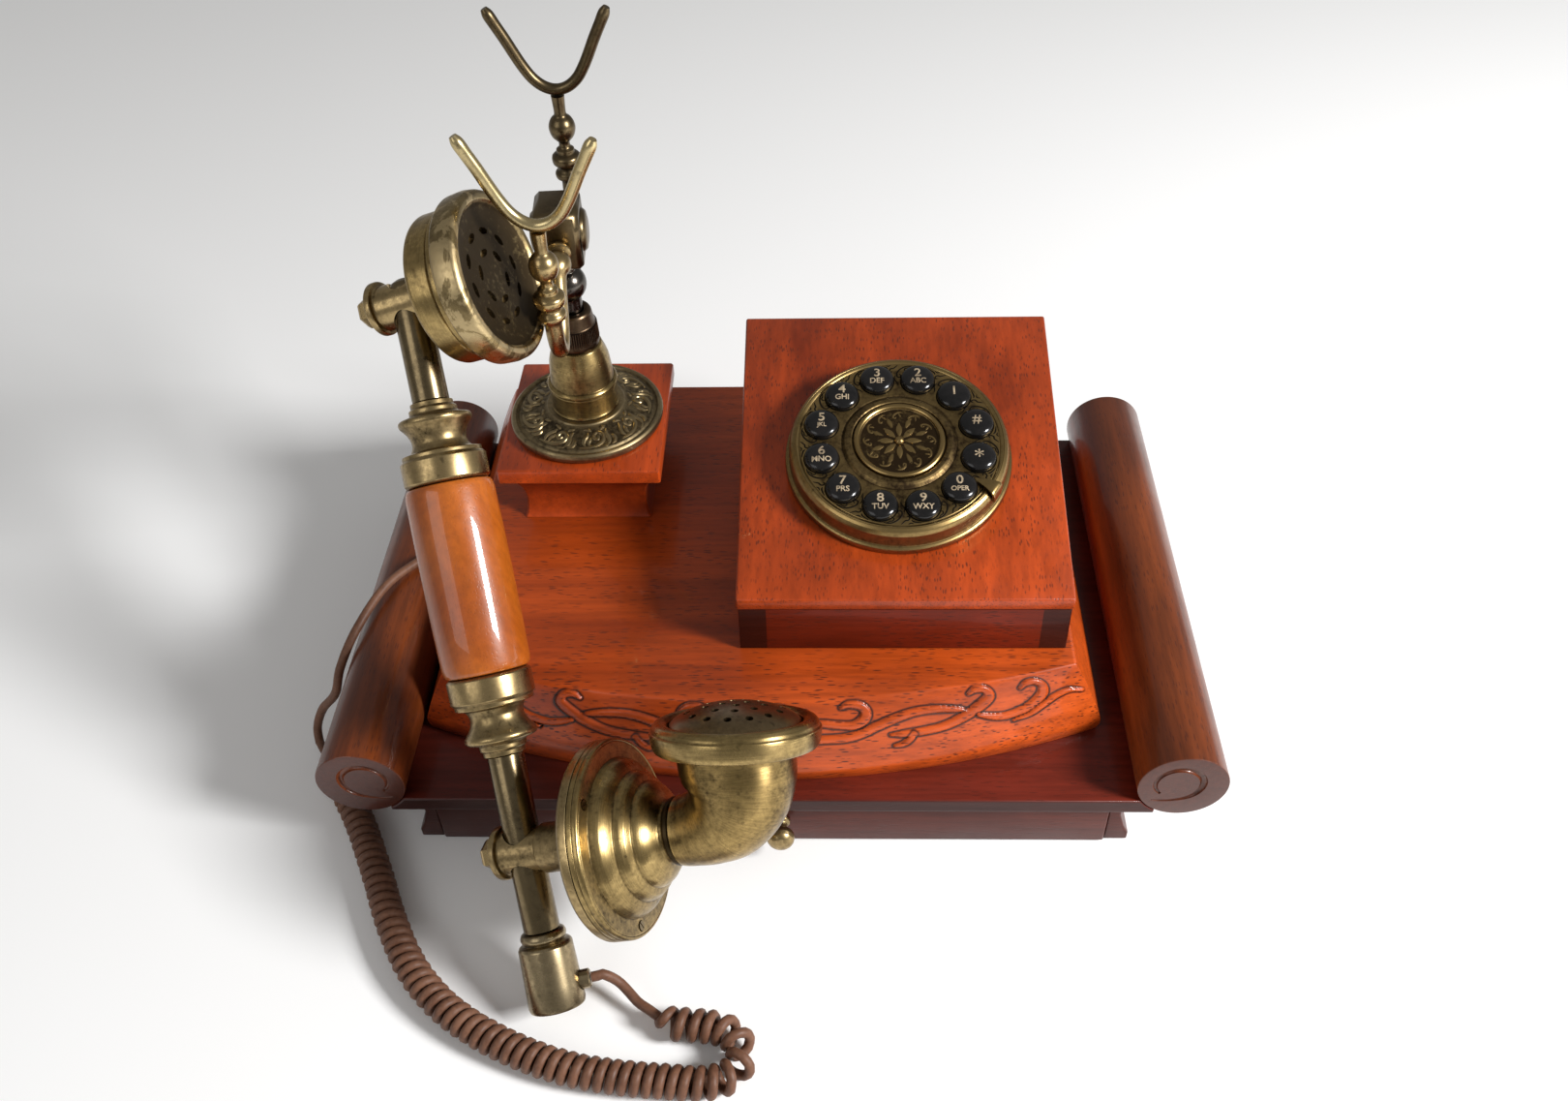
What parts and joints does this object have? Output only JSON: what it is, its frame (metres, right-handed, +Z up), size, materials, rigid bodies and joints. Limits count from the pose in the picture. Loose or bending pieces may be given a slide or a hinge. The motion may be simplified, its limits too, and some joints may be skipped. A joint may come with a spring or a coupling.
{
  "type": "desk telephone",
  "caption": "Old-style wooden desk telephone with push keys in a round brass dial, a brass column with a forked cradle, a drawer, and a brass and wood handset stood in front on a curly cord.",
  "frame": {"origin": "centre of the underside of the base, on the table", "axes": "+Z up, front (drawer and key pad's low edge) towards -Y, +X to the right seen from the front"},
  "size_m": [0.3477, 0.3013, 0.2415],
  "materials": {
    "base_board": "satin lacquered red-brown wood",
    "deck": "satin lacquered red-brown wood",
    "dial_box_lid": "satin lacquered red-brown wood",
    "dial_box_walls": "satin lacquered red-brown wood",
    "floor_board": "satin lacquered red-brown wood",
    "pedestal": "satin lacquered red-brown wood",
    "plinth_back_rail": "satin lacquered red-brown wood",
    "plinth_end_left": "satin lacquered red-brown wood",
    "plinth_end_right": "satin lacquered red-brown wood",
    "scroll_roll_left": "satin lacquered red-brown wood",
    "scroll_roll_right": "satin lacquered red-brown wood",
    "column_drum": "antique brass with dark patina",
    "dial_housing": "antique brass with dark patina",
    "dial_medallion": "antique brass with dark patina",
    "dial_pointer": "antique brass with dark patina",
    "pedestal_flange": "antique brass with dark patina",
    "knurled_collar": "dark blued steel",
    "key_board": "matt green board",
    "line_socket": "matt black",
    "deck_cord_bush": "matt black",
    "cord_coil": "matt dark brown",
    "cord_tail_deck": "matt dark brown",
    "cord_tail_handset": "matt dark brown",
    "cradle_plunger": "dark blued steel",
    "cradle_block": "dark antique brass",
    "cradle_arm_front": "antique brass with dark patina",
    "cradle_arm_rear": "antique brass with dark patina",
    "cradle_fork_front": "antique brass with dark patina",
    "cradle_fork_rear": "antique brass with dark patina",
    "handset_socket": "antique brass with dark patina",
    "handset_cord_bush": "matt black",
    "lower_tube": "dark antique brass",
    "lower_sleeve": "antique brass with dark patina",
    "lower_ferrule": "antique brass with dark patina",
    "handset_grip": "gloss lacquered amber wood",
    "upper_ferrule": "antique brass with dark patina",
    "upper_tube": "dark antique brass",
    "upper_sleeve": "antique brass with dark patina",
    "receiver_cup": "antique brass with dark patina",
    "ear_cap": "dark antique brass",
    "transmitter_back": "antique brass with dark patina",
    "transmitter_front": "antique brass with dark patina",
    "horn": "antique brass with dark patina",
    "mouth_rim": "antique brass with dark patina",
    "mouth_dome": "dark antique brass",
    "drawer_front": "satin lacquered red-brown wood",
    "drawer_tray": "satin lacquered red-brown wood",
    "drawer_knob": "antique brass with dark patina",
    "key_1": "gloss black",
    "key_2": "gloss black",
    "key_3": "gloss black",
    "key_4": "gloss black",
    "key_5": "gloss black",
    "key_6": "gloss black",
    "key_7": "gloss black",
    "key_8": "gloss black",
    "key_9": "gloss black",
    "key_0": "gloss black",
    "key_star": "gloss black",
    "key_hash": "gloss black"
  },
  "bodies": {
    "base": {"base_board": "base_board", "deck": "deck", "dial_box_lid": "dial_box_lid", "dial_box_walls": "dial_box_walls", "floor_board": "floor_board", "pedestal": "pedestal", "plinth_back_rail": "plinth_back_rail", "plinth_end_left": "plinth_end_left", "plinth_end_right": "plinth_end_right", "scroll_roll_left": "scroll_roll_left", "scroll_roll_right": "scroll_roll_right", "column_drum": "column_drum", "dial_housing": "dial_housing", "dial_medallion": "dial_medallion", "dial_pointer": "dial_pointer", "pedestal_flange": "pedestal_flange", "knurled_collar": "knurled_collar", "key_board": "key_board", "line_socket": "line_socket", "deck_cord_bush": "deck_cord_bush", "cord_coil": "cord_coil", "cord_tail_deck": "cord_tail_deck", "cord_tail_handset": "cord_tail_handset"},
    "cradle": {"cradle_plunger": "cradle_plunger", "cradle_block": "cradle_block", "cradle_arm_front": "cradle_arm_front", "cradle_arm_rear": "cradle_arm_rear", "cradle_fork_front": "cradle_fork_front", "cradle_fork_rear": "cradle_fork_rear"},
    "handset": {"handset_socket": "handset_socket", "handset_cord_bush": "handset_cord_bush", "lower_tube": "lower_tube", "lower_sleeve": "lower_sleeve", "lower_ferrule": "lower_ferrule", "handset_grip": "handset_grip", "upper_ferrule": "upper_ferrule", "upper_tube": "upper_tube", "upper_sleeve": "upper_sleeve", "receiver_cup": "receiver_cup", "ear_cap": "ear_cap", "transmitter_back": "transmitter_back", "transmitter_front": "transmitter_front", "horn": "horn", "mouth_rim": "mouth_rim", "mouth_dome": "mouth_dome"},
    "drawer": {"drawer_front": "drawer_front", "drawer_tray": "drawer_tray", "drawer_knob": "drawer_knob"},
    "key_1": {"key_1": "key_1"},
    "key_2": {"key_2": "key_2"},
    "key_3": {"key_3": "key_3"},
    "key_4": {"key_4": "key_4"},
    "key_5": {"key_5": "key_5"},
    "key_6": {"key_6": "key_6"},
    "key_7": {"key_7": "key_7"},
    "key_8": {"key_8": "key_8"},
    "key_9": {"key_9": "key_9"},
    "key_0": {"key_0": "key_0"},
    "key_star": {"key_star": "key_star"},
    "key_hash": {"key_hash": "key_hash"}
  },
  "joints": [
    {"name": "handset_lift", "type": "slide", "parent": "base", "child": "handset", "axis": [-0.5, -0.35, 0.7921], "range_m": [0, 0.26]},
    {"name": "cradle_press", "type": "slide", "parent": "base", "child": "cradle", "axis": [0, 0, 1], "range_m": [-0.0018, 0], "stiffness_N_per_m": 700, "springref_m": 0.012},
    {"name": "drawer_slide", "type": "slide", "parent": "base", "child": "drawer", "axis": [0, -1, 0], "range_m": [0, 0.042]},
    {"name": "key_1_press", "type": "slide", "parent": "base", "child": "key_1", "axis": [0, -0.2301, 0.9732], "range_m": [-0.0015, 0], "stiffness_N_per_m": 160, "springref_m": 0.004},
    {"name": "key_2_press", "type": "slide", "parent": "base", "child": "key_2", "axis": [0, -0.2301, 0.9732], "range_m": [-0.0015, 0], "stiffness_N_per_m": 160, "springref_m": 0.004},
    {"name": "key_3_press", "type": "slide", "parent": "base", "child": "key_3", "axis": [0, -0.2301, 0.9732], "range_m": [-0.0015, 0], "stiffness_N_per_m": 160, "springref_m": 0.004},
    {"name": "key_4_press", "type": "slide", "parent": "base", "child": "key_4", "axis": [0, -0.2301, 0.9732], "range_m": [-0.0015, 0], "stiffness_N_per_m": 160, "springref_m": 0.004},
    {"name": "key_5_press", "type": "slide", "parent": "base", "child": "key_5", "axis": [0, -0.2301, 0.9732], "range_m": [-0.0015, 0], "stiffness_N_per_m": 160, "springref_m": 0.004},
    {"name": "key_6_press", "type": "slide", "parent": "base", "child": "key_6", "axis": [0, -0.2301, 0.9732], "range_m": [-0.0015, 0], "stiffness_N_per_m": 160, "springref_m": 0.004},
    {"name": "key_7_press", "type": "slide", "parent": "base", "child": "key_7", "axis": [0, -0.2301, 0.9732], "range_m": [-0.0015, 0], "stiffness_N_per_m": 160, "springref_m": 0.004},
    {"name": "key_8_press", "type": "slide", "parent": "base", "child": "key_8", "axis": [0, -0.2301, 0.9732], "range_m": [-0.0015, 0], "stiffness_N_per_m": 160, "springref_m": 0.004},
    {"name": "key_9_press", "type": "slide", "parent": "base", "child": "key_9", "axis": [0, -0.2301, 0.9732], "range_m": [-0.0015, 0], "stiffness_N_per_m": 160, "springref_m": 0.004},
    {"name": "key_0_press", "type": "slide", "parent": "base", "child": "key_0", "axis": [0, -0.2301, 0.9732], "range_m": [-0.0015, 0], "stiffness_N_per_m": 160, "springref_m": 0.004},
    {"name": "key_star_press", "type": "slide", "parent": "base", "child": "key_star", "axis": [0, -0.2301, 0.9732], "range_m": [-0.0015, 0], "stiffness_N_per_m": 160, "springref_m": 0.004},
    {"name": "key_hash_press", "type": "slide", "parent": "base", "child": "key_hash", "axis": [0, -0.2301, 0.9732], "range_m": [-0.0015, 0], "stiffness_N_per_m": 160, "springref_m": 0.004}
  ]
}
